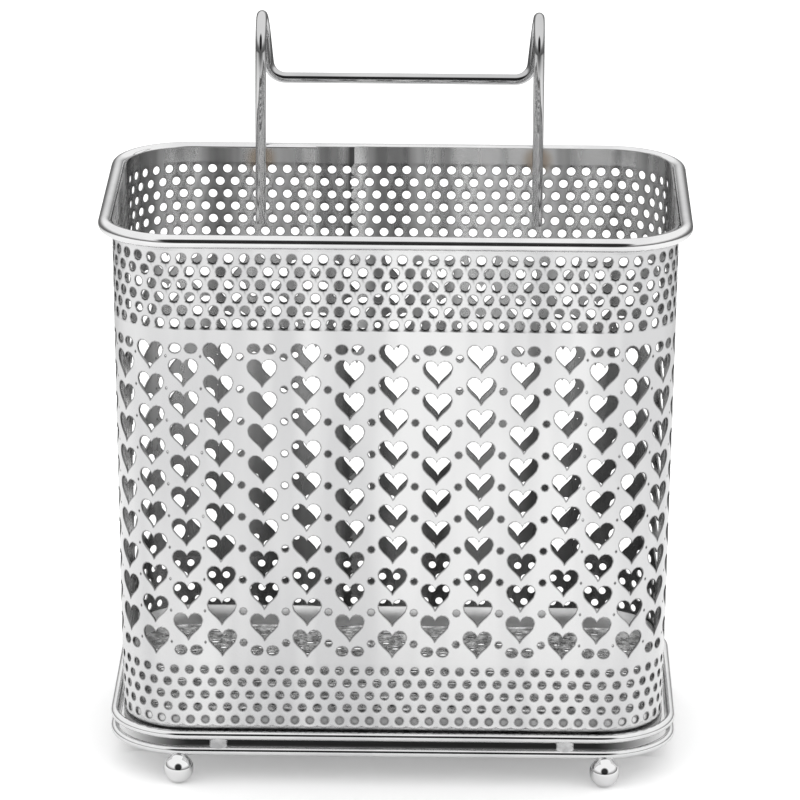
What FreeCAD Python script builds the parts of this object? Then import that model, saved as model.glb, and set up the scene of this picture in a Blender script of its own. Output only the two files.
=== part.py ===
import FreeCAD, Part

import math
import os

# A perforated sheet-steel cutlery basket. A wire rim runs round its mouth, a bent wire hanger
# stands at its back, and its floor rests on a base of two wire rings with four ball feet.
# Millimetres, Z up, X to the right and Y to the back. The origin lies on the standing surface,
# below the middle of the basket.

# Basket sheet, measured on its outside at the mouth
basket_width = 185.5
basket_depth = 115.5
basket_height = 172.5
corner_radius = 22.0
draft = 2.5              # how far each side leans in between mouth and foot
sheet = 0.6
lap_width = 12.0         # overlap where the wrapped sheet closes, inside the back
lap_left_edge = -28.0
floor_sheet = 0.6
floor_lip = 8.0          # upturned edge of the floor inside the wall

# Heart perforation
heart_width = 9.4
heart_height = 9.4
heart_pitch_wide = 14.2      # between columns on the front and the back
heart_pitch_narrow = 12.2    # between columns on the two ends
heart_pitch_up = 11.0
hearts_above_foot = 33.0     # from the foot to the middle of the lowest heart
hearts_below_mouth = 40.0    # least distance from the mouth to the middle of the highest heart

# Wires, across their flats
rim_wire = 4.5
rim_below_edge = 1.0         # sheet edge above the middle of the rim wire
hanger_wire = 3.7
base_wire = 3.0
wire_sides = 8               # flat sides that each round wire is drawn with

# Hanger
hanger_spacing = 94.8
hanger_leg_below_rim = 25.0
hook_height = 47.0           # top of the hook bend above the middle of the rim
hook_gap = 17.0              # free width inside the hook, for a 16 mm rail
crossbar_drop = 24.0         # crossbar below the top of the hook
crossbar_bend = 6.0
crossbar_inset = 2.5         # how far the rear legs lean in

# Base
foot_ball = 10.0
foot_bands = 6               # flat bands that each ball is drawn with, pole to pole
foot_from_middle = 70.8      # along the lower ring from the middle of its front run
ring_gap = 1.55              # between the basket foot and the upper ring
cross_wire_spacing = 115.0
weld_set = 0.25              # depth that welded wires and balls sink into each other
weld_gap = 0.05              # skin between pieces that are welded side by side

# Heights, worked up from the standing surface
lower_ring_z = foot_ball - weld_set + base_wire / 2
cross_wire_z = lower_ring_z + base_wire - weld_set
upper_ring_z = cross_wire_z + base_wire - weld_set
basket_foot_z = cross_wire_z + base_wire / 2
mouth_z = basket_foot_z + basket_height
rim_z = mouth_z - rim_below_edge


def lean(z):
    """Inward offset of the sheet at a height, nothing at the mouth."""
    return draft * (mouth_z - z) / basket_height


def contour(z, offset=0.0):
    """Rounded rectangle at a height, offset outwards from the outside of the sheet.

    It starts at the left end of the front run and goes round by the right side.
    """
    half_x = basket_width / 2 - lean(z) + offset
    half_y = basket_depth / 2 - lean(z) + offset
    radius = corner_radius + offset
    edges = []
    for turn, along, across in ((0, half_x, half_y), (90, half_y, half_x),
                                (180, half_x, half_y), (270, half_y, half_x)):
        start = FreeCAD.Vector(radius - along, -across, z)
        end = FreeCAD.Vector(along - radius, -across, z)
        slant = radius * math.sqrt(0.5)
        middle = end + FreeCAD.Vector(slant, radius - slant, 0)
        corner_end = end + FreeCAD.Vector(radius, radius, 0)
        for edge in (Part.makeLine(start, end), Part.Arc(end, middle, corner_end).toShape()):
            edge.rotate(FreeCAD.Vector(0, 0, 0), FreeCAD.Vector(0, 0, 1), turn)
            edges.append(edge)
    return Part.Wire(edges)


def flat_sided(outlines):
    """Solid closed by flat faces, each given by its corner points in turn, seen from outside."""
    shell = Part.makeShell([Part.Face(Part.makePolygon(points + points[:1])) for points in outlines])
    shell.sewShape()
    return Part.makeSolid(shell)


def tapered_block(low, high, offset):
    """Solid between two heights that follows the lean of the sheet, its upright edges rounded."""
    levels = []
    for z in (low, high):
        half_x = basket_width / 2 - lean(z) + offset
        half_y = basket_depth / 2 - lean(z) + offset
        signs = ((-1, -1), (1, -1), (1, 1), (-1, 1))
        levels.append([FreeCAD.Vector(i * half_x, j * half_y, z) for i, j in signs])
    bottom, top = levels
    sides = [[bottom[k - 1], bottom[k], top[k], top[k - 1]] for k in range(4)]
    block = flat_sided([bottom[::-1], top] + sides)
    upright = [edge for edge in block.Edges if edge.BoundBox.ZLength > (high - low) / 2]
    return block.makeFillet(corner_radius + offset, upright)


def drawn_wire(path, across_flats, side):
    """Wire along a path of lines and tangent arcs, with one of its flats turned to a side."""
    first = path.OrderedEdges[0]
    start = first.valueAt(first.FirstParameter)
    over = first.tangentAt(first.FirstParameter).cross(side)
    corner = across_flats / 2 / math.cos(math.pi / wire_sides)
    outline = []
    for number in range(wire_sides + 1):
        angle = 2 * math.pi * (number + 0.5) / wire_sides
        outline.append(start + side * (corner * math.cos(angle)) + over * (corner * math.sin(angle)))
    return path.makePipeShell([Part.makePolygon(outline)], True, False)


def bent_path(corners, radii):
    """Straight runs between corner points, with a bend of its own radius at each inner one."""
    edges = []
    here = corners[0]
    for before, corner, after, radius in zip(corners, corners[1:], corners[2:], radii):
        back = (before - corner).normalize()
        ahead = (after - corner).normalize()
        half_angle = back.getAngle(ahead) / 2
        reach = radius / math.tan(half_angle)
        start = corner + back * reach
        end = corner + ahead * reach
        inwards = (back + ahead).normalize()
        middle = corner + inwards * (radius / math.sin(half_angle) - radius)
        edges.append(Part.makeLine(here, start))
        edges.append(Part.Arc(start, middle, end).toShape())
        here = end
    edges.append(Part.makeLine(here, corners[-1]))
    return Part.Wire(edges)


def heart_columns():
    """Run of the contour, place from its middle and half pitches of rise of each heart column."""
    runs = contour((basket_foot_z + mouth_z) / 2).OrderedEdges
    columns = []
    for run, pitch, rise in ((0, heart_pitch_wide, 0), (2, heart_pitch_narrow, 1),
                             (4, heart_pitch_wide, 0), (6, heart_pitch_narrow, 1)):
        beside_middle = int((runs[run].Length - heart_width) / 2 / pitch)
        for number in range(-beside_middle, beside_middle + 1):
            columns.append((run, number * pitch, (number + rise) % 2))
    return columns


def heart_punch(run, from_middle, z):
    """Heart-shaped prism across the sheet at a place on a flat side."""
    edge = contour(z).OrderedEdges[run]
    across = edge.tangentAt(edge.FirstParameter)
    up = FreeCAD.Vector(0, 0, 1)
    outwards = across.cross(up)
    centre = edge.CenterOfMass + across * from_middle + outwards * sheet
    half = [(0, -0.5), (0.5, 0.14), (0.29, 0.5), (0, 0.3)]
    outline = half + [(-u, v) for u, v in reversed(half[:-1])]
    points = [centre + across * (u * heart_width) + up * (v * heart_height) for u, v in outline]
    return Part.Face(Part.makePolygon(points)).extrude(outwards * (-4 * sheet))


def heart_punches():
    """All hearts on the flat sides, where every other column is raised by half a pitch."""
    low = basket_foot_z + hearts_above_foot
    high = mouth_z - hearts_below_mouth
    punches = []
    for run, from_middle, rise in heart_columns():
        z = low + heart_pitch_up / 2 * rise
        while z <= high:
            punches.append(heart_punch(run, from_middle, z))
            z += heart_pitch_up
    return Part.makeCompound(punches)


def basket_wall():
    """One sheet wrapped round, closed by a lap inside the back and pierced with hearts."""
    outside = tapered_block(basket_foot_z, mouth_z, 0)
    inside = tapered_block(basket_foot_z - sheet, mouth_z + sheet, -sheet)
    lap_inside = tapered_block(basket_foot_z - sheet, mouth_z + sheet, -2 * sheet)
    lap_box = Part.makeBox(lap_width, basket_depth, basket_height,
                           FreeCAD.Vector(lap_left_edge, 0, basket_foot_z))
    lap = outside.cut(lap_inside).common(lap_box)
    wall = outside.cut(inside).fuse(lap).removeSplitter()
    return wall.cut(heart_punches())


def basket_floor():
    """Shallow pan that fits inside the wall, its edge turned up all round."""
    lip_z = basket_foot_z + floor_lip
    fit = sheet + weld_gap
    pan = tapered_block(basket_foot_z, lip_z, -fit)
    hollow = tapered_block(basket_foot_z + floor_sheet, lip_z + floor_sheet, -fit - floor_sheet)
    lap_box = Part.makeBox(lap_width + 2 * weld_gap, basket_depth, 2 * floor_lip,
                           FreeCAD.Vector(lap_left_edge - weld_gap, 0, basket_foot_z - floor_lip))
    lap_room = lap_box.cut(tapered_block(basket_foot_z - 2 * floor_lip, lip_z + floor_lip, -fit - sheet))
    return pan.cut(hollow).cut(lap_room)


def rim():
    """Closed wire outside the sheet, just below its edge."""
    path = contour(rim_z, weld_gap + rim_wire / 2)
    return drawn_wire(path, rim_wire, FreeCAD.Vector(0, 0, 1))


def hanger():
    """One wire: two legs welded inside the back wall, two hooks and the bar between them."""
    slope = draft / basket_height
    low_z = rim_z - hanger_leg_below_rim
    top_z = rim_z + hook_height - hanger_wire / 2
    bar_z = top_z - crossbar_drop
    leg_y = basket_depth / 2 - lean(rim_z) - sheet - weld_gap - hanger_wire / 2
    low_y = leg_y - slope * hanger_leg_below_rim
    top_y = leg_y + slope * (top_z - rim_z)
    rear_y = top_y + hook_gap + hanger_wire
    half = hanger_spacing / 2
    left = [FreeCAD.Vector(-half, low_y, low_z),
            FreeCAD.Vector(-half, top_y, top_z),
            FreeCAD.Vector(-half, rear_y, top_z),
            FreeCAD.Vector(crossbar_inset - half, rear_y, bar_z)]
    right = [FreeCAD.Vector(-point.x, point.y, point.z) for point in reversed(left)]
    hook_bend = 0.49 * (rear_y - top_y)
    radii = [hook_bend, hook_bend, crossbar_bend, crossbar_bend, hook_bend, hook_bend]
    return drawn_wire(bent_path(left + right, radii), hanger_wire, FreeCAD.Vector(1, 0, 0))


def ring_path(z):
    """Middle line of a base ring, which goes round the foot of the basket with a small gap."""
    return contour(z, ring_gap + base_wire / 2 + lean(z) - lean(basket_foot_z))


def base_ring(z):
    """Closed wire of the base."""
    return drawn_wire(ring_path(z), base_wire, FreeCAD.Vector(0, 0, 1))


def cross_wire(x, rings):
    """Wire from front to back between the rings, seated into both."""
    start = FreeCAD.Vector(x, -ring_outside_y, cross_wire_z)
    end = FreeCAD.Vector(x, ring_outside_y, cross_wire_z)
    path = Part.Wire(Part.makeLine(start, end))
    return drawn_wire(path, base_wire, FreeCAD.Vector(0, 0, 1)).cut(rings)


def foot_place():
    """Place of the right front foot under the middle line of the lower ring."""
    edges = ring_path(lower_ring_z).OrderedEdges
    ahead = edges[0].Length / 2 + foot_from_middle
    number = 0
    while ahead > edges[number].Length:
        ahead -= edges[number].Length
        number += 1
    return edges[number].valueAt(edges[number].getParameterByLength(ahead))


def ball_foot(x, y, ring):
    """Ball under the lower ring, with a seat where the ring is welded into it."""
    radius = foot_ball / 2
    step = math.pi / foot_bands

    def corner(side, band):
        size = radius * math.sin(step * band)
        return FreeCAD.Vector(x + size * math.cos(step * side), y + size * math.sin(step * side),
                              radius - radius * math.cos(step * band))

    outlines = []
    for side in range(2 * foot_bands):
        for band in range(foot_bands):
            outline = [corner(side, band), corner(side + 1, band)] if band > 0 else [corner(side, 0)]
            outline.append(corner(side + 1, band + 1))
            if band < foot_bands - 1:
                outline.append(corner(side, band + 1))
            outlines.append(outline)
    return flat_sided(outlines).cut(ring)


ring_middle_y = basket_depth / 2 - lean(basket_foot_z) + ring_gap + base_wire / 2
ring_outside_y = ring_middle_y + base_wire / 2
upper_ring = base_ring(upper_ring_z)
lower_ring = base_ring(lower_ring_z)
both_rings = Part.makeCompound([upper_ring, lower_ring])
nodes = {
    "basket_wall": basket_wall(),
    "basket_floor": basket_floor(),
    "rim_wire": rim(),
    "hanger_wire": hanger(),
    "base_upper_ring": upper_ring,
    "base_lower_ring": lower_ring,
    "cross_wire_left": cross_wire(-cross_wire_spacing / 2, both_rings),
    "cross_wire_right": cross_wire(cross_wire_spacing / 2, both_rings),
}
foot = foot_place()
for place_y, y in (("front", foot.y), ("rear", -foot.y)):
    for place_x, x in (("left", -foot.x), ("right", foot.x)):
        nodes["foot_" + place_y + "_" + place_x] = ball_foot(x, y, lower_ring)

os.makedirs("parts", exist_ok=True)
for name, shape in nodes.items():
    shape.exportStep("parts/" + name + ".step")
    print(name, len(shape.Solids), shape.isValid(), round(shape.Volume, 2))
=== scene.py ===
import math

import bmesh
import bpy
from mathutils import Matrix, Vector


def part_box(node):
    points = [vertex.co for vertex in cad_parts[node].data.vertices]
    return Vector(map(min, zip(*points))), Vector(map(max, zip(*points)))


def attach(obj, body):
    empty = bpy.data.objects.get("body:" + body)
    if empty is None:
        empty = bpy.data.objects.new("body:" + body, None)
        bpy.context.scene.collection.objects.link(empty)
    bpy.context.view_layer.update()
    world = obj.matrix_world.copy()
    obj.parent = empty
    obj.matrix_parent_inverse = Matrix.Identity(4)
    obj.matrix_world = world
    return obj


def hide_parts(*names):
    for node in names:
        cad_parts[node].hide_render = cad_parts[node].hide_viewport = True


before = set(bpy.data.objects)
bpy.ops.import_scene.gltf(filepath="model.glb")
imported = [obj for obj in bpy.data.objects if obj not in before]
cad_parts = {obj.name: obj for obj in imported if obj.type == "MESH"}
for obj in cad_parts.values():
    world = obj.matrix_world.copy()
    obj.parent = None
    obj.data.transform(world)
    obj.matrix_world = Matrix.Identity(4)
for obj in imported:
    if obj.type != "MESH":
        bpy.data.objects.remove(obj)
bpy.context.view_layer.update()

# Lower base ring: one round steel wire bent to a rounded rectangle, butt welded and chrome plated.
# It carries the four balls below, and the two cross wires are welded on top of it.

mm = 0.001
base_wire = 3.0 * mm
base_bend = 25.05 * mm
wire_sides = 20
bend_steps = 14
end_chamfer = 0.12
merged_within = 0.001 * mm
crease = math.radians(38)


def run_on(bm, ring, step):
    """Draws an open ring of edges on along a straight step and gives back the ring at its end."""
    grown = bmesh.ops.extrude_edge_only(bm, edges=ring)["geom"]
    verts = {item for item in grown if isinstance(item, bmesh.types.BMVert)}
    bmesh.ops.translate(bm, verts=list(verts), vec=step)
    edges = [item for item in grown if isinstance(item, bmesh.types.BMEdge)]
    return [edge for edge in edges if set(edge.verts) <= verts]


def bent_wire(points, bends, radius, closed=False):
    """Round wire through points, bent to a radius of its own at each inner one."""
    bm = bmesh.new()
    if closed:
        middle = (points[-1] + points[0]) / 2
        points = [middle, *points, middle]
    heading = (points[1] - points[0]).normalized()
    place = Matrix.Translation(points[0]) @ heading.to_track_quat("Z", "Y").to_matrix().to_4x4()
    section = bmesh.ops.create_circle(bm, segments=wire_sides, radius=radius, matrix=place)
    ring = list({edge for vert in section["verts"] for edge in vert.link_edges})
    first = ring
    here = points[0]
    for before, corner, after, bend in zip(points, points[1:], points[2:], bends):
        back = (before - corner).normalized()
        ahead = (after - corner).normalized()
        half = back.angle(ahead) / 2
        ring = run_on(bm, ring, corner + back * bend / math.tan(half) - here)
        centre = corner + (back + ahead).normalized() * bend / math.sin(half)
        swept = bmesh.ops.spin(bm, geom=ring, cent=centre, axis=ahead.cross(back).normalized(),
                               angle=math.pi - 2 * half, steps=bend_steps)
        ring = [item for item in swept["geom_last"] if isinstance(item, bmesh.types.BMEdge)]
        here = corner + ahead * bend / math.tan(half)
    ring = run_on(bm, ring, points[-1] - here)
    if closed:
        bmesh.ops.remove_doubles(bm, verts=bm.verts, dist=merged_within)
    else:
        for end in (first, ring):
            cap = bmesh.ops.contextual_create(bm, geom=end)["faces"]
            bmesh.ops.bevel(bm, geom=list(cap[0].edges), offset=end_chamfer * radius,
                            offset_type="OFFSET", segments=2, profile=0.5, affect="EDGES", material=-1)
    bmesh.ops.recalc_face_normals(bm, faces=bm.faces)
    return bm


def finished(name, bm, *materials):
    """Object of a mesh in its place, smooth but for its sharp edges."""
    mesh = bpy.data.meshes.new(name)
    bm.to_mesh(mesh)
    bm.free()
    for material in materials:
        mesh.materials.append(material)
    mesh.shade_smooth()
    mesh.set_sharp_from_angle(angle=crease)
    piece = bpy.data.objects.new(name, mesh)
    bpy.context.collection.objects.link(piece)
    return piece


def rounded_ring(node, wire, bend):
    """Closed wire in the place of a ring of the frame."""
    low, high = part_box(node)
    x = high.x - wire / 2
    y = high.y - wire / 2
    z = (low.z + high.z) / 2
    corners = [Vector((x, -y, z)), Vector((x, y, z)), Vector((-x, y, z)), Vector((-x, -y, z))]
    return bent_wire(corners, [bend] * 4, wire / 2, closed=True)


def metal_finish():
    """Tone, roughness and unevenness of worked steel, with marks that run along one direction.

    Where a sheet is punched, its attribute punched_edge is 1 at the cut, and a painted shade darkens the
    tone there.
    """
    group = bpy.data.node_groups.new("worked_metal", "ShaderNodeTree")
    face = group.interface
    for name, value in (("Marks across per m", 300.0), ("Marks along per m", 300.0),
                        ("Roughness low", 0.05), ("Roughness high", 0.15), ("Unevenness m", 0.00001),
                        ("Edge shade start", 0.9), ("Edge shade tone", 1.0)):
        socket = face.new_socket(name, in_out="INPUT", socket_type="NodeSocketFloat")
        socket.default_value = value
    for name in ("Light tone", "Dark tone"):
        face.new_socket(name, in_out="INPUT", socket_type="NodeSocketColor")
    face.new_socket("Color", in_out="OUTPUT", socket_type="NodeSocketColor")
    face.new_socket("Roughness", in_out="OUTPUT", socket_type="NodeSocketFloat")
    face.new_socket("Normal", in_out="OUTPUT", socket_type="NodeSocketVector")
    nodes = group.nodes
    link = group.links.new
    given = nodes.new("NodeGroupInput")
    made = nodes.new("NodeGroupOutput")
    place = nodes.new("ShaderNodeTexCoord")
    stretch = nodes.new("ShaderNodeCombineXYZ")
    link(given.outputs["Marks across per m"], stretch.inputs["X"])
    link(given.outputs["Marks across per m"], stretch.inputs["Y"])
    link(given.outputs["Marks along per m"], stretch.inputs["Z"])
    scaled = nodes.new("ShaderNodeVectorMath")
    scaled.operation = "MULTIPLY"
    link(place.outputs["Object"], scaled.inputs[0])
    link(stretch.outputs["Vector"], scaled.inputs[1])
    marks = nodes.new("ShaderNodeTexNoise")
    marks.inputs["Scale"].default_value = 1.0
    marks.inputs["Detail"].default_value = 3.0
    link(scaled.outputs["Vector"], marks.inputs["Vector"])
    streaks = nodes.new("ShaderNodeTexNoise")
    streaks.inputs["Scale"].default_value = 0.35
    streaks.inputs["Detail"].default_value = 3.0
    link(scaled.outputs["Vector"], streaks.inputs["Vector"])
    contrast = nodes.new("ShaderNodeMapRange")
    contrast.inputs["From Min"].default_value = 0.40
    contrast.inputs["From Max"].default_value = 0.60
    link(streaks.outputs["Fac"], contrast.inputs["Value"])
    tone = nodes.new("ShaderNodeMix")
    tone.data_type = "RGBA"
    link(contrast.outputs["Result"], tone.inputs["Factor"])
    link(given.outputs["Dark tone"], tone.inputs["A"])
    link(given.outputs["Light tone"], tone.inputs["B"])
    # Painted shade: the tone darkens towards each punched edge
    punched = nodes.new("ShaderNodeAttribute")
    punched.attribute_name = "punched_edge"
    ring = nodes.new("ShaderNodeMapRange")
    ring.inputs["To Min"].default_value = 1.0
    link(punched.outputs["Fac"], ring.inputs["Value"])
    link(given.outputs["Edge shade start"], ring.inputs["From Min"])
    link(given.outputs["Edge shade tone"], ring.inputs["To Max"])
    edge_shaded = nodes.new("ShaderNodeVectorMath")
    edge_shaded.operation = "SCALE"
    link(tone.outputs["Result"], edge_shaded.inputs[0])
    link(ring.outputs["Result"], edge_shaded.inputs["Scale"])
    rough = nodes.new("ShaderNodeMapRange")
    rough.inputs["From Min"].default_value = 0.3
    rough.inputs["From Max"].default_value = 0.7
    link(marks.outputs["Fac"], rough.inputs["Value"])
    link(given.outputs["Roughness low"], rough.inputs["To Min"])
    link(given.outputs["Roughness high"], rough.inputs["To Max"])
    bump = nodes.new("ShaderNodeBump")
    link(given.outputs["Unevenness m"], bump.inputs["Distance"])
    link(marks.outputs["Fac"], bump.inputs["Height"])
    link(edge_shaded.outputs["Vector"], made.inputs["Color"])
    link(rough.outputs["Result"], made.inputs["Roughness"])
    link(bump.outputs["Normal"], made.inputs["Normal"])
    return group


worked_metal = metal_finish()


def metal(name, light, dark, across, along, roughness, unevenness):
    """Metal with the worked finish; gives back the material, its shader and its finish node."""
    material = bpy.data.materials.new(name)
    material.use_nodes = True
    nodes = material.node_tree.nodes
    shader = nodes["Principled BSDF"]
    shader.inputs["Metallic"].default_value = 1.0
    finish = nodes.new("ShaderNodeGroup")
    finish.node_tree = worked_metal
    finish.inputs["Light tone"].default_value = (*light, 1.0)
    finish.inputs["Dark tone"].default_value = (*dark, 1.0)
    finish.inputs["Marks across per m"].default_value = across
    finish.inputs["Marks along per m"].default_value = along
    finish.inputs["Roughness low"].default_value = roughness[0]
    finish.inputs["Roughness high"].default_value = roughness[1]
    finish.inputs["Unevenness m"].default_value = unevenness
    link = material.node_tree.links.new
    link(finish.outputs["Color"], shader.inputs["Base Color"])
    link(finish.outputs["Roughness"], shader.inputs["Roughness"])
    link(finish.outputs["Normal"], shader.inputs["Normal"])
    return material, shader, finish


chrome_wire, _, _ = metal(
    "chrome_wire", light=(0.86, 0.86, 0.86), dark=(0.78, 0.78, 0.785),
    across=160.0, along=160.0, roughness=(0.04, 0.09), unevenness=0.000012)
bm = rounded_ring("base_lower_ring", base_wire, base_bend)
lower_ring = finished("base_lower_ring_wire", bm, chrome_wire)
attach(lower_ring, "root")
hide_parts("base_lower_ring")

# Cross wires: two straight wires under the floor, from front to back between the two rings.
# Their ends are welded to both rings, and the weld fills the slot there in a waisted post.

post_foot_half = 5.0 * mm
post_waist_half = 2.9 * mm
post_depth_half = 1.25 * mm
post_set = 1.7 * mm
post_sides = 24
post_steps = 10
lower_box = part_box("base_lower_ring")
upper_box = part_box("base_upper_ring")
post_low = (lower_box[0].z + lower_box[1].z) / 2
post_high = (upper_box[0].z + upper_box[1].z) / 2


def weld_post(bm, x, y):
    """Waisted post of weld metal between the middles of the two rings."""
    size = Matrix.Diagonal((post_foot_half, post_depth_half, 1.0, 1.0))
    place = Matrix.Translation((x, y, post_low)) @ size
    section = bmesh.ops.create_circle(bm, segments=post_sides, radius=1.0, cap_ends=False, matrix=place)
    ring = list({edge for vert in section["verts"] for edge in vert.link_edges})
    bmesh.ops.contextual_create(bm, geom=ring)
    before = post_foot_half
    for step in range(1, post_steps + 1):
        bulge = abs(2 * step / post_steps - 1) ** 3
        half = post_waist_half + (post_foot_half - post_waist_half) * bulge
        ring = run_on(bm, ring, Vector((0, 0, (post_high - post_low) / post_steps)))
        verts = list({vert for edge in ring for vert in edge.verts})
        bmesh.ops.scale(bm, verts=verts, vec=(half / before, 1, 1), space=Matrix.Translation((-x, 0, 0)))
        before = half
    bmesh.ops.contextual_create(bm, geom=ring)


weld_metal, _, _ = metal(
    "weld_metal", light=(0.66, 0.66, 0.66), dark=(0.44, 0.44, 0.445),
    across=700.0, along=700.0, roughness=(0.12, 0.28), unevenness=0.00008)
for side in ("left", "right"):
    node = "cross_wire_" + side
    low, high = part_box(node)
    x = (low.x + high.x) / 2
    z = (post_low + post_high) / 2
    ends = [Vector((x, low.y + post_set, z)), Vector((x, high.y - post_set, z))]
    bm = bent_wire(ends, [], base_wire / 2)
    wire_faces = set(bm.faces)
    for end in ends:
        weld_post(bm, x, end.y)
    for face in set(bm.faces) - wire_faces:
        face.material_index = 1
    bmesh.ops.recalc_face_normals(bm, faces=bm.faces)
    wire = finished("cross_wire_welded_" + side, bm, chrome_wire, weld_metal)
    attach(wire, "root")
    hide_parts(node)

# Upper base ring: the same wire and bend as the lower ring, stacked on the cross wires.
# The foot of the basket stands just inside it.

bm = rounded_ring("base_upper_ring", base_wire, base_bend)
upper_ring = finished("base_upper_ring_wire", bm, chrome_wire)
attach(upper_ring, "root")
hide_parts("base_upper_ring")

# Ball feet: four chrome-plated steel balls, resistance welded under the lower ring.
# The weld draws a short neck up from the top of each ball into the wire.

neck_from = 0.86
neck_draw = 0.9
neck_flare = 1.6
chrome_ball, _, _ = metal(
    "chrome_ball", light=(0.88, 0.88, 0.88), dark=(0.82, 0.82, 0.825),
    across=120.0, along=120.0, roughness=(0.02, 0.05), unevenness=0.000006)
for place in ("front_left", "front_right", "rear_left", "rear_right"):
    node = "foot_" + place
    low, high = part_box(node)
    radius = (high.x - low.x) / 2
    centre = Vector(((low.x + high.x) / 2, (low.y + high.y) / 2, low.z + radius))
    bm = bmesh.new()
    bmesh.ops.create_uvsphere(bm, u_segments=36, v_segments=28, radius=radius)
    for vert in bm.verts:
        rise = vert.co.z / radius - neck_from
        if rise > 0:
            vert.co.z += neck_draw * rise * radius
            vert.co.xy *= 1 + neck_flare * rise
    bmesh.ops.translate(bm, verts=bm.verts, vec=centre)
    ball = finished("foot_ball_" + place, bm, chrome_ball)
    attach(ball, "root")
    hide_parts(node)

# Basket wall: one strip of thin steel sheet, punched flat with round holes and hearts, polished,
# then wrapped round to a rounded rectangle that narrows downwards and lapped inside the back.

sheet = 0.6 * mm
wall_low, wall_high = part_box("basket_wall")
wall_foot = wall_low.z
wall_mouth = wall_high.z
wall_bend = 22.0 * mm
wall_draft = 2.5 * mm
lap = 12.0 * mm
lap_edge = 28.0 * mm
lap_gap = 0.05 * mm
lap_tuck = 3.0 * mm
low_hole = 2.65 * mm
low_holes = 19.0 * mm
low_rows = 5
high_hole = 3.05 * mm
high_holes = 156.6 * mm
high_rows = 6
hole_rows_up = 4.4 * mm
heart = 9.4 * mm
heart_tall = 0.55
heart_lift = 0.15
heart_block = 10.4 * mm
heart_pitch_wide = 14.2 * mm
heart_pitch_narrow = 12.2 * mm
heart_pitch_up = 11.0 * mm
heart_rows = 10
hearts_foot = 43.0 * mm
half_columns = 22
quarter_columns = 11
front_columns = 4
side_columns = 3
lobe_wide = 3.9 * mm
lobe_tall = 3.2 * mm
speck_widest = 2.3 * mm
speck_margin = 0.4 * mm
band_edge = 0.3 * mm
edge_roll = 0.18 * mm
edge_climb = 0.85 * mm
edge_reach = 4.0 * mm
edge_samples = 96
side_drop = 0.1
cut_inset = 0.05 * mm
split_within = 0.0001 * mm


def wall_runs(z):
    """Half lengths of the flat front and side at a height."""
    lean = wall_draft * (wall_mouth - z) / (wall_mouth - wall_foot)
    return wall_high.x - lean - wall_bend, wall_high.y - lean - wall_bend


middle_runs = wall_runs((wall_foot + wall_mouth) / 2)
quarter = middle_runs[0] + wall_bend * math.pi / 2 + middle_runs[1]


def heart_column(number):
    """Distance of a heart column along the sheet from the middle of the front."""
    turns, number = divmod(number, half_columns)
    start = 2 * quarter * turns
    if number > quarter_columns:
        return start + 2 * quarter - heart_column(half_columns - number)
    if number <= front_columns:
        return start + heart_pitch_wide * number
    if number >= quarter_columns - side_columns:
        return start + quarter - heart_pitch_narrow * (quarter_columns - number)
    wide = front_columns * heart_pitch_wide
    narrow = quarter - side_columns * heart_pitch_narrow
    share = (number - front_columns) / (quarter_columns - side_columns - front_columns)
    return start + wide + (narrow - wide) * share


def wrapped(along, z, inwards):
    """Point of the sheet once it is wrapped, at a depth below its outer face."""
    run_x, run_y = wall_runs(z)
    along = along % (4 * quarter)
    sign_x = 1
    sign_y = -1
    if along > 2 * quarter:
        along = 4 * quarter - along
        sign_x = -1
    if along > quarter:
        along = 2 * quarter - along
        sign_y = 1
    radius = wall_bend - inwards
    arc = wall_bend * math.pi / 2
    if along <= middle_runs[0]:
        return Vector((sign_x * along * run_x / middle_runs[0], sign_y * (run_y + radius), z))
    if along <= middle_runs[0] + arc:
        turn = (along - middle_runs[0]) / wall_bend
        x = run_x + radius * math.sin(turn)
        y = run_y + radius * math.cos(turn)
        return Vector((sign_x * x, sign_y * y, z))
    left = quarter - along
    return Vector((sign_x * (run_x + radius), sign_y * left * run_y / middle_runs[1], z))


def heart_point(turn):
    """Point of the heart outline, from the notch at turn 0 to the tip at turn pi."""
    x = math.sin(turn) ** 3
    y = (13 * math.cos(turn) - 5 * math.cos(2 * turn) - 2 * math.cos(3 * turn) - math.cos(4 * turn)) / 16
    return Vector((x * heart / 2, 0.0, (y + heart_lift) * heart * heart_tall))


# Grid of the flat sheet: five cells to a heart column and two to a round hole
column_lines = 5
lines_round = 2 * half_columns * column_lines
first_line = -105
last_line = 125
low_band = [low_holes + hole_rows_up / 2 * row for row in range(2 * low_rows + 1)]
heart_band = [hearts_foot + heart_pitch_up / 4 * row for row in range(4 * heart_rows + 1)]
high_band = [high_holes + hole_rows_up / 2 * row for row in range(2 * high_rows + 1)]
levels = [wall_foot, low_holes - band_edge, *low_band, low_band[-1] + band_edge, *heart_band,
          high_holes - band_edge, *high_band, high_band[-1] + band_edge, wall_mouth]
low_start = levels.index(low_band[0])
heart_start = levels.index(heart_band[0])
heart_end = levels.index(heart_band[-1])
high_start = levels.index(high_band[0])


def line_place(line, level):
    """Distance of a grid line along the sheet: even at the round holes, bunched at the hearts."""
    if heart_start <= level <= heart_end:
        column, part = divmod(line, column_lines)
        return heart_column(column) + (part - 2) * heart_block / 4
    return (line - 2) * 4 * quarter / lines_round


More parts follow.
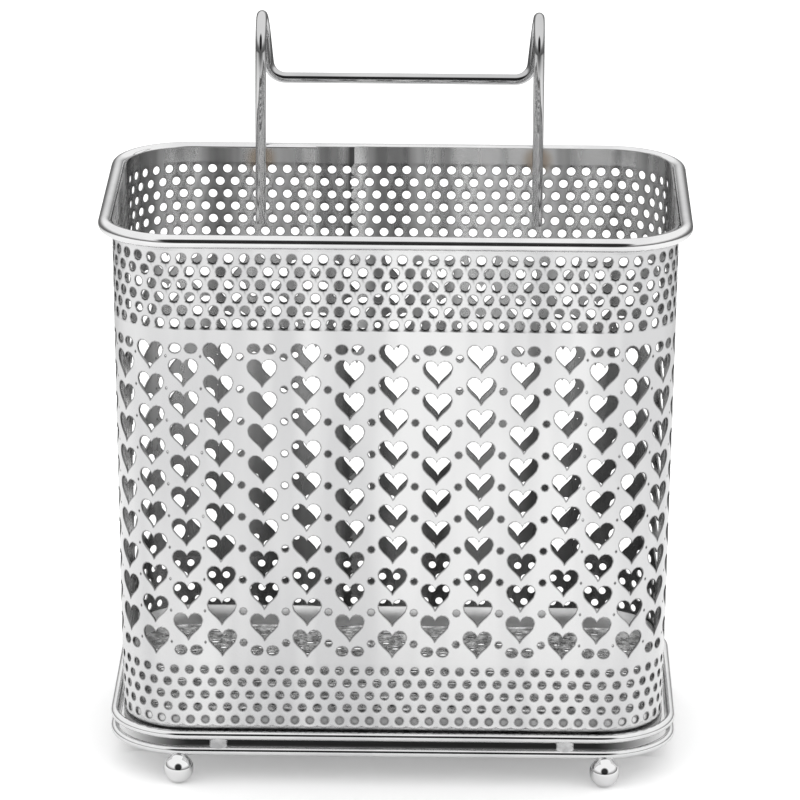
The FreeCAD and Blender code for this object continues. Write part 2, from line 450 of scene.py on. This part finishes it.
def punch(bm, blocks):
    """Opens each block of grid cells into one hole, and notes how close the sheet is to its edge."""
    closeness = bm.loops.layers.float["punched_edge"]
    holes = []
    for cells, centre, outline in blocks:
        holes.append((bmesh.utils.face_join(cells), centre, outline))
    edges = {edge for face, _, _ in holes for edge in face.edges}
    along = [edge for edge in edges if abs(edge.verts[0].co.z - edge.verts[1].co.z) < merged_within]
    bmesh.ops.bisect_edges(bm, edges=along, cuts=1)
    bmesh.ops.inset_individual(bm, faces=[face for face, _, _ in holes], thickness=cut_inset)
    for face, centre, outline in holes:
        verts = [loop.vert for loop in face.loops]
        heights = [vert.co.z - side_drop * abs(vert.co.x - centre.x) for vert in verts]
        top = heights.index(max(heights))
        verts = verts[top:] + verts[:top]
        if verts[1].co.x < centre.x:
            verts = verts[:1] + verts[:0:-1]
        for number, vert in enumerate(verts):
            vert.co = centre + outline(2 * math.pi * number / len(verts))
        edge = [centre + outline(2 * math.pi * number / edge_samples) for number in range(edge_samples)]
        cut = set(verts)
        for vert in {corner for near in cut for link in near.link_edges for corner in link.verts}:
            distance = 0.0 if vert in cut else min((point - vert.co).length for point in edge)
            for loop in vert.link_loops:
                if cut.intersection(loop.face.verts):
                    loop[closeness] = 1 - distance / edge_reach
    bmesh.ops.delete(bm, geom=[face for face, _, _ in holes], context="FACES_ONLY")


def oval(width, height, roll):
    """Outline of a round or oval hole, whose edge the punch has rolled inwards."""
    return lambda turn: Vector((width / 2 * math.sin(turn), roll, height / 2 * math.cos(turn)))


def flat_grid(lines, rows):
    """Grid of cells with a cell finder by line and row; its points are still to be placed."""
    bm = bmesh.new()
    bm.loops.layers.float.new("punched_edge")
    bmesh.ops.create_grid(bm, x_segments=lines, y_segments=rows, size=1.0)
    verts = {}
    for vert in bm.verts:
        verts[round((vert.co.x + 1) / 2 * lines), round((vert.co.y + 1) / 2 * rows)] = vert
    cells = {}
    for face in bm.faces:
        middle = face.calc_center_median()
        cells[math.floor((middle.x + 1) / 2 * lines), math.floor((middle.y + 1) / 2 * rows)] = face
    return bm, verts, cells


bm, grid, cells = flat_grid(last_line - first_line, len(levels) - 1)
for (line, level), vert in grid.items():
    vert.co = (line_place(line + first_line, level), 0.0, levels[level])


def block(line, level, wide, tall):
    """Cells of a block that starts at a line and a level, and its middle."""
    found = [cells[line - first_line + i, level + j] for i in range(wide) for j in range(tall)]
    corners = [grid[line - first_line + i, level + j].co for i in (0, wide) for j in (0, tall)]
    return found, sum(corners, Vector()) / 4


# Openings: round holes at foot and mouth, hearts between them, half hearts and specks in the gaps
blocks = []
low_levels = range(low_start, low_start + 2 * low_rows, 2)
high_levels = range(high_start, high_start + 2 * high_rows, 2)
for row, level in enumerate([*low_levels, *high_levels]):
    across = low_hole if level < heart_start else high_hole
    for line in range(first_line + 1 + row % 2, last_line - 1, 2):
        blocks.append((*block(line, level, 2, 2), oval(across, across, edge_roll)))
for column in range(first_line // column_lines, last_line // column_lines):
    line = column_lines * column
    raised = column % 2
    for level in range(heart_start + 2 * raised, heart_end - 2 * raised, 4):
        blocks.append((*block(line, level, 4, 4), heart_point))
    for level in (heart_start, heart_end - 2):
        for part in (0, 2):
            if raised:
                blocks.append((*block(line + part, level, 2, 2), oval(lobe_wide, lobe_tall, 0.0)))
    strip = heart_column(column + 1) - heart_column(column) - heart_block
    speck = min(speck_widest, strip - speck_margin)
    for level in range(heart_start + 1, heart_end, 4):
        blocks.append((*block(line + 4, level, 1, 2), oval(speck, speck, 0.0)))
punch(bm, blocks)

# The strip is cut to length, given its thickness and wrapped, with one end tucked behind the other
seam_outer = lap_edge - lap - 2 * quarter
seam_inner = lap_edge + 2 * quarter
for place, direction in ((seam_outer, -1), (seam_inner, 1)):
    bmesh.ops.bisect_plane(bm, geom=bm.verts[:] + bm.edges[:] + bm.faces[:], dist=split_within,
                           plane_co=(place, 0, 0), plane_no=(direction, 0, 0), clear_outer=True)
outer_faces = bm.faces[:]
copied = bmesh.ops.extrude_face_region(bm, geom=outer_faces, use_keep_orig=True)["geom"]
for item in copied:
    if isinstance(item, bmesh.types.BMVert):
        item.co.y += sheet
    elif isinstance(item, bmesh.types.BMFace):
        item.material_index = 1 if item.calc_center_median().x < seam_inner - lap else 3
for face in set(bm.faces) - set(outer_faces) - set(copied):
    face.material_index = 2
for vert in bm.verts:
    along, depth, z = vert.co
    tucked = min(1.0, max(0.0, (along - seam_inner + lap + lap_tuck) / lap_tuck))
    depth += (sheet + lap_gap) * tucked * tucked * (3 - 2 * tucked)
    climb = edge_climb * (along - seam_outer) / (seam_inner - seam_outer)
    vert.co = wrapped(along, z, depth)
    vert.co.z += climb * max(0.0, z - levels[-2]) / (wall_mouth - levels[-2])
bmesh.ops.recalc_face_normals(bm, faces=bm.faces)


def graded(tree, value, start, end, at_start, at_end, soft=True):
    """Value that passes from one level to another between two places of what it is given."""
    ramp = tree.nodes.new("ShaderNodeMapRange")
    ramp.interpolation_type = "SMOOTHSTEP" if soft else "LINEAR"
    ramp.inputs["From Min"].default_value = start
    ramp.inputs["From Max"].default_value = end
    ramp.inputs["To Min"].default_value = at_start
    ramp.inputs["To Max"].default_value = at_end
    tree.links.new(value, ramp.inputs["Value"])
    return ramp.outputs["Result"]


def dimmed(tree, colour, share):
    """Colour scaled by a share that changes over the surface."""
    scaled = tree.nodes.new("ShaderNodeVectorMath")
    scaled.operation = "SCALE"
    tree.links.new(colour, scaled.inputs[0])
    tree.links.new(share, scaled.inputs["Scale"])
    return scaled.outputs["Vector"]


def vector_step(tree, operation, vector, other=(0.0, 0.0, 0.0)):
    """Node that sets a vector against a fixed one."""
    step = tree.nodes.new("ShaderNodeVectorMath")
    step.operation = operation
    step.inputs[1].default_value = other
    tree.links.new(vector, step.inputs[0])
    return step


def parts_of(tree, vector):
    """Outputs X, Y and Z of a vector."""
    parts = tree.nodes.new("ShaderNodeSeparateXYZ")
    tree.links.new(vector, parts.inputs["Vector"])
    return parts.outputs


def edge_shaded(finish, width, tone):
    """Paints shade into a finish round each punched opening."""
    finish.inputs["Edge shade start"].default_value = 1 - width / edge_reach
    finish.inputs["Edge shade tone"].default_value = tone


# Outside of the sheet: polished, with painted shade round each opening and along the foot, where it meets
# the upper ring
outer_shade_ring = 0.55 * mm
outer_shade_tone = 0.24
foot_shade_low = wall_foot + 2.2 * mm
foot_shade_high = wall_foot + 3.3 * mm
foot_shade_tone = 0.25
polished_sheet, shader, finish = metal(
    "polished_sheet", light=(0.80, 0.80, 0.80), dark=(0.64, 0.64, 0.645),
    across=120.0, along=14.0, roughness=(0.10, 0.20), unevenness=0.00002)
edge_shaded(finish, outer_shade_ring, outer_shade_tone)
tree = polished_sheet.node_tree
place = tree.nodes.new("ShaderNodeTexCoord").outputs["Object"]
# painted shade along the foot of the wall, just above the upper ring
foot_shade = graded(tree, parts_of(tree, place)["Z"], foot_shade_low, foot_shade_high, foot_shade_tone, 1.0)
tree.links.new(dimmed(tree, finish.outputs["Color"], foot_shade), shader.inputs["Base Color"])

# Inside of the sheet: less polished, with painted shade round each opening and deepening towards the
# floor, straw tinted at the hanger welds
inner_shade_ring = 0.40 * mm
inner_shade_tone = 0.30
weld_spot = (47.4 * mm, 57.0 * mm, 184.5 * mm)
tint_core = 2.5 * mm
tint_end = 6.5 * mm
tint_strength = 0.75
inside_shade_foot = 60.0 * mm
inside_shade_top = 165.0 * mm
inside_shade_tone = 0.42
sheet_inside, shader, finish = metal(
    "sheet_inside", light=(1.0, 1.0, 1.0), dark=(0.32, 0.32, 0.32),
    across=150.0, along=10.0, roughness=(0.16, 0.38), unevenness=0.00003)
edge_shaded(finish, inner_shade_ring, inner_shade_tone)
tree = sheet_inside.node_tree
place = tree.nodes.new("ShaderNodeTexCoord").outputs["Object"]
either_side = vector_step(tree, "ABSOLUTE", place).outputs["Vector"]
from_weld = vector_step(tree, "DISTANCE", either_side, weld_spot).outputs["Value"]
straw = tree.nodes.new("ShaderNodeMix")
straw.data_type = "RGBA"
straw.inputs["B"].default_value = (0.58, 0.46, 0.34, 1.0)
tree.links.new(graded(tree, from_weld, tint_core, tint_end, tint_strength, 0.0), straw.inputs["Factor"])
tree.links.new(finish.outputs["Color"], straw.inputs["A"])
# painted shade inside the basket, deepening from the top down to the floor
inside_shade = graded(tree, parts_of(tree, place)["Z"], inside_shade_foot, inside_shade_top, inside_shade_tone, 1.0, soft=False)
tree.links.new(dimmed(tree, straw.outputs["Result"], inside_shade), shader.inputs["Base Color"])

# Cut edges, and the streaked sheet of the lap with painted shade round its openings
cut_edge, _, _ = metal(
    "cut_edge", light=(0.30, 0.30, 0.30), dark=(0.16, 0.16, 0.16),
    across=400.0, along=400.0, roughness=(0.25, 0.40), unevenness=0.00001)
lap_inside, _, finish = metal(
    "lap_inside", light=(0.85, 0.85, 0.85), dark=(0.14, 0.14, 0.14),
    across=260.0, along=8.0, roughness=(0.15, 0.35), unevenness=0.00003)
edge_shaded(finish, inner_shade_ring, inner_shade_tone)
wall = finished("basket_wall_punched", bm, polished_sheet, sheet_inside, cut_edge, lap_inside)
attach(wall, "root")
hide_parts("basket_wall")

# Basket floor: a shallow pan pressed from the same sheet, with drain holes in staggered rows.
# Its upturned lip fits inside the foot of the wall, where it is spot welded.

floor_low, floor_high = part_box("basket_floor")
pan_bend = 21.35 * mm
lip_bend = 1.2 * mm
pan_clear = 0.12 * mm
lap_clear = 0.1 * mm
lap_side = 1.0 * mm
drain_margin = 2.8 * mm
edge_strip = 0.5 * mm
pan_core = Vector((floor_high.x - pan_bend - pan_clear, -floor_low.y - pan_bend - pan_clear))
pan_flat = pan_bend - lip_bend
drain = 3.0 * mm
drain_cell = 3.3 * mm
drain_row = 2.86 * mm


def from_core(point):
    """Way out from the straight-sided core of the pan to a point."""
    nearest_x = max(-pan_core.x, min(pan_core.x, point.x))
    nearest_y = max(-pan_core.y, min(pan_core.y, point.y))
    return Vector((point.x - nearest_x, point.y - nearest_y))


half_lines = math.ceil((pan_core.x + pan_flat) / drain_cell) + 1
half_rows = math.ceil((pan_core.y + pan_flat) / drain_row) + 1
bm, grid, cells = flat_grid(2 * half_lines, 2 * half_rows)
for (line, row), vert in grid.items():
    vert.co = ((line - half_lines) * drain_cell, 0.0, (row - half_rows) * drain_row)
blocks = []
for row in range(0, 2 * half_rows - 1, 2):
    for line in range(row // 2 % 2, 2 * half_lines - 1, 2):
        centre = grid[line + 1, row + 1].co.copy()
        if from_core(Vector((centre.x, centre.z))).length < pan_flat - drain_margin:
            corner = [cells[line + i, row + j] for i in (0, 1) for j in (0, 1)]
            blocks.append((corner, centre, oval(drain, drain, 0.0)))
punch(bm, blocks)
bmesh.ops.rotate(bm, verts=bm.verts, cent=(0, 0, 0), matrix=Matrix.Rotation(-math.pi / 2, 3, "X"))
for sign_x in (-1, 1):
    for sign_y in (-1, 1):
        for turn in range(0, 91, 10):
            way = Vector((sign_x * math.cos(math.radians(turn)), sign_y * math.sin(math.radians(turn)), 0))
            at = Vector((sign_x * pan_core.x, sign_y * pan_core.y, 0)) + way * pan_flat
            bmesh.ops.bisect_plane(bm, geom=bm.verts[:] + bm.edges[:] + bm.faces[:], dist=split_within,
                                   plane_co=at, plane_no=way, clear_outer=True)
bmesh.ops.translate(bm, verts=bm.verts, vec=(0, 0, floor_low.z))
edge_line = []
for edge in bm.edges:
    out = min(from_core(vert.co).length for vert in edge.verts)
    if edge.is_boundary and out > pan_flat - edge_strip:
        edge_line.append(edge)
lip_steps = []
for turn in (30, 60, 90):
    angle = math.radians(turn)
    lip_steps.append((lip_bend * math.sin(angle), lip_bend * (1 - math.cos(angle))))
lip_steps.append((lip_bend, floor_high.z - floor_low.z))
for reach, height in lip_steps:
    edge_line = run_on(bm, edge_line, Vector((0, 0, 0)))
    for vert in {vert for edge in edge_line for vert in edge.verts}:
        way = from_core(vert.co).normalized()
        spot = Vector((vert.co.x, vert.co.y)) - from_core(vert.co) + way * (pan_flat + reach)
        in_lap = vert.co.y > 0 and -lap_edge - lap_side < vert.co.x < lap - lap_edge + lap_side
        vert.co = (spot.x, spot.y - in_lap * (sheet + lap_clear), floor_low.z + height)
bmesh.ops.recalc_face_normals(bm, faces=bm.faces)
pan_sheet, _, _ = metal(
    "pan_sheet", light=(0.86, 0.86, 0.86), dark=(0.34, 0.34, 0.34),
    across=700.0, along=700.0, roughness=(0.15, 0.35), unevenness=0.00005)
pan_lip, _, _ = metal(
    "pan_lip", light=(1.0, 1.0, 1.0), dark=(0.88, 0.88, 0.88),
    across=150.0, along=150.0, roughness=(0.35, 0.50), unevenness=0.000005)
for face in bm.faces:
    if face.calc_center_median().z > floor_low.z + lip_bend / 2:
        face.material_index = 1
pan = finished("basket_floor_drained", bm, pan_sheet, pan_lip)
thick = pan.modifiers.new("sheet thickness", "SOLIDIFY")
thick.thickness = sheet
thick.offset = -1.0
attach(pan, "root")
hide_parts("basket_floor")

# Rim: one thicker round wire bent round the outside of the sheet just below its edge.
# It is spot welded to the wall and stiffens the mouth.

rim_wire = 4.5 * mm
rim_bend = 24.3 * mm
rim = finished("rim_round_wire", rounded_ring("rim_wire", rim_wire, rim_bend), chrome_wire)
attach(rim, "root")
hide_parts("rim_wire")

# Hanger: one round wire bent into two hooks with a bar between them, to hang the basket on a rail.
# Its two legs run down inside the back wall and are spot welded there, which leaves a straw heat tint.

hanger_wire = 3.7 * mm
hook_bend = 10.14 * mm
bar_bend = 6.0 * mm
bar_drop = 24.0 * mm
bar_inset = 2.5 * mm
leg_lean = 0.0145
hook_span = 20.7 * mm
hanger_low, hanger_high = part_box("hanger_wire")
leg_x = hanger_high.x - hanger_wire / 2
leg_top = hanger_high.z - hanger_wire / 2
rear_y = hanger_high.y - hanger_wire / 2
top_y = rear_y - hook_span
low_y = top_y - leg_lean * (leg_top - hanger_low.z)
left = [Vector((-leg_x, low_y, hanger_low.z)),
        Vector((-leg_x, top_y, leg_top)),
        Vector((-leg_x, rear_y, leg_top)),
        Vector((bar_inset - leg_x, rear_y, leg_top - bar_drop))]
right = [Vector((-point.x, point.y, point.z)) for point in reversed(left)]
bends = [hook_bend, hook_bend, bar_bend, bar_bend, hook_bend, hook_bend]
chrome_hanger, _, _ = metal(
    "chrome_hanger", light=(0.68, 0.68, 0.68), dark=(0.56, 0.56, 0.565),
    across=70.0, along=20.0, roughness=(0.02, 0.05), unevenness=0.000002)
hanger = finished("hanger_bent_wire", bent_wire(left + right, bends, hanger_wire / 2), chrome_hanger)
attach(hanger, "root")
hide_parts("hanger_wire")

# Stage: a plain white floor in white surroundings, which metal mirrors with a dark place for the camera.
# In mirrors the floor shows a painted pool of light that darkens further off, and below the basket it
# carries a painted shade.

ground_half = 3.0
ground_tone = 0.95
camera_glow = 0.17
mirror_middle = (0.0, -0.25, 0.0)
mirror_squeeze = (0.6, 1.0, 1.0)
mirror_near = 0.42
mirror_far = 1.10
light_pool_near_tone = 0.90
light_pool_far_tone = 0.118
shade_tone = 0.05
shade_shares = (("X", 0.72, 1.00), ("Y", 0.36, 0.54))
bm = bmesh.new()
bmesh.ops.create_grid(bm, x_segments=1, y_segments=1, size=ground_half)
ground = finished("ground", bm)
paper = bpy.data.materials.new("pale_ground")
paper.use_nodes = True
tree = paper.node_tree
shader = tree.nodes["Principled BSDF"]
shader.inputs["Roughness"].default_value = 0.9
shader.inputs["Specular IOR Level"].default_value = 0.0
place = tree.nodes.new("ShaderNodeTexCoord").outputs["Object"]
squeezed = vector_step(tree, "MULTIPLY", place, mirror_squeeze).outputs["Vector"]
away = vector_step(tree, "DISTANCE", squeezed, mirror_middle).outputs["Value"]
# painted pool of light on the floor as the metal mirrors it, darker further off
mirrored_light_pool = graded(tree, away, mirror_near, mirror_far, light_pool_near_tone, light_pool_far_tone)
path = tree.nodes.new("ShaderNodeLightPath")
seen = tree.nodes.new("ShaderNodeMix")
seen.data_type = "RGBA"
seen.inputs["A"].default_value = (ground_tone, ground_tone, ground_tone, 1.0)
tree.links.new(path.outputs["Is Glossy Ray"], seen.inputs["Factor"])
tree.links.new(mirrored_light_pool, seen.inputs["B"])
# painted shade on the floor below the basket
half_base = (*upper_ring.dimensions.xy / 2, 1.0)
either_side = vector_step(tree, "ABSOLUTE", place).outputs["Vector"]
base_share = parts_of(tree, vector_step(tree, "DIVIDE", either_side, half_base).outputs["Vector"])
further = tree.nodes.new("ShaderNodeMath")
further.operation = "MAXIMUM"
for number, (side, inner, outer) in enumerate(shade_shares):
    tree.links.new(graded(tree, base_share[side], inner, outer, 0.0, 1.0), further.inputs[number])
shade = graded(tree, further.outputs["Value"], 0.0, 1.0, shade_tone, 1.0, soft=False)
tree.links.new(dimmed(tree, seen.outputs["Result"], shade), shader.inputs["Base Color"])
glow = tree.nodes.new("ShaderNodeMath")
glow.operation = "MULTIPLY"
tree.links.new(path.outputs["Is Camera Ray"], glow.inputs[0])
tree.links.new(shade, glow.inputs[1])
shader.inputs["Emission Color"].default_value = (camera_glow, camera_glow, camera_glow, 1.0)
tree.links.new(glow.outputs["Value"], shader.inputs["Emission Strength"])
ground.data.materials.append(paper)

# World: white to the camera, soft light on the floor, and for metal a sky that darkens to the horizon
dark_height = math.radians(24)
dark_core = math.cos(math.radians(20))
dark_end = math.cos(math.radians(34))
dark_tone = 0.03
horizon_end = 0.40
horizon_tone = 0.20
light_end = 0.70
light_low = 1.48
light_high = 1.17
world = bpy.data.worlds.new("studio")
bpy.context.scene.world = world
world.use_nodes = True
tree = world.node_tree
sky = tree.nodes["Background"]
direction = tree.nodes.new("ShaderNodeTexCoord").outputs["Generated"]
camera_way = (0.0, -math.cos(dark_height), math.sin(dark_height))
towards_camera = vector_step(tree, "DOT_PRODUCT", direction, camera_way).outputs["Value"]
dark_place = graded(tree, towards_camera, dark_end, dark_core, 1.0, dark_tone)
height = parts_of(tree, direction)["Z"]
overhead = graded(tree, height, 0.0, horizon_end, horizon_tone, 1.0)
from_above = graded(tree, height, 0.0, light_end, light_low, light_high)
mirrored = tree.nodes.new("ShaderNodeMath")
mirrored.operation = "MULTIPLY"
tree.links.new(dark_place, mirrored.inputs[0])
tree.links.new(overhead, mirrored.inputs[1])
path = tree.nodes.new("ShaderNodeLightPath")
lit = tree.nodes.new("ShaderNodeMix")
lit.data_type = "RGBA"
lit.inputs["B"].default_value = (1.0, 1.0, 1.0, 1.0)
tree.links.new(from_above, lit.inputs["A"])
tree.links.new(path.outputs["Is Camera Ray"], lit.inputs["Factor"])
seen = tree.nodes.new("ShaderNodeMix")
seen.data_type = "RGBA"
tree.links.new(lit.outputs["Result"], seen.inputs["A"])
tree.links.new(path.outputs["Is Glossy Ray"], seen.inputs["Factor"])
tree.links.new(mirrored.outputs["Value"], seen.inputs["B"])
tree.links.new(seen.outputs["Result"], sky.inputs["Color"])
sky.inputs["Strength"].default_value = 1.0

# Camera at the photograph's angle, far off with a long lens, with a trace of roll
reach = 1.912
elevation = 0.29782
yaw = -0.01162
roll = 0.00631
target = Vector((1.41, 0.0, 115.83)) * mm
focal_pixels = 5682.0
frame_pixels = 800
sensor = 36.0
forward = Vector((math.sin(yaw) * math.cos(elevation),
                  math.cos(yaw) * math.cos(elevation),
                  -math.sin(elevation)))
level_right = Vector((math.cos(yaw), -math.sin(yaw), 0.0))
level_up = level_right.cross(forward)
camera_right = level_right * math.cos(roll) + level_up * math.sin(roll)
camera_up = level_up * math.cos(roll) - level_right * math.sin(roll)
pose = Matrix((camera_right, camera_up, -forward)).transposed().to_4x4()
pose.translation = target - forward * reach
camera = bpy.data.objects.new("camera", bpy.data.cameras.new("camera"))
camera.data.sensor_width = sensor
camera.data.lens = focal_pixels / frame_pixels * sensor
camera.data.clip_end = 20.0
camera.matrix_world = pose
bpy.context.collection.objects.link(camera)
bpy.context.scene.camera = camera
bpy.context.scene.view_settings.view_transform = "Standard"
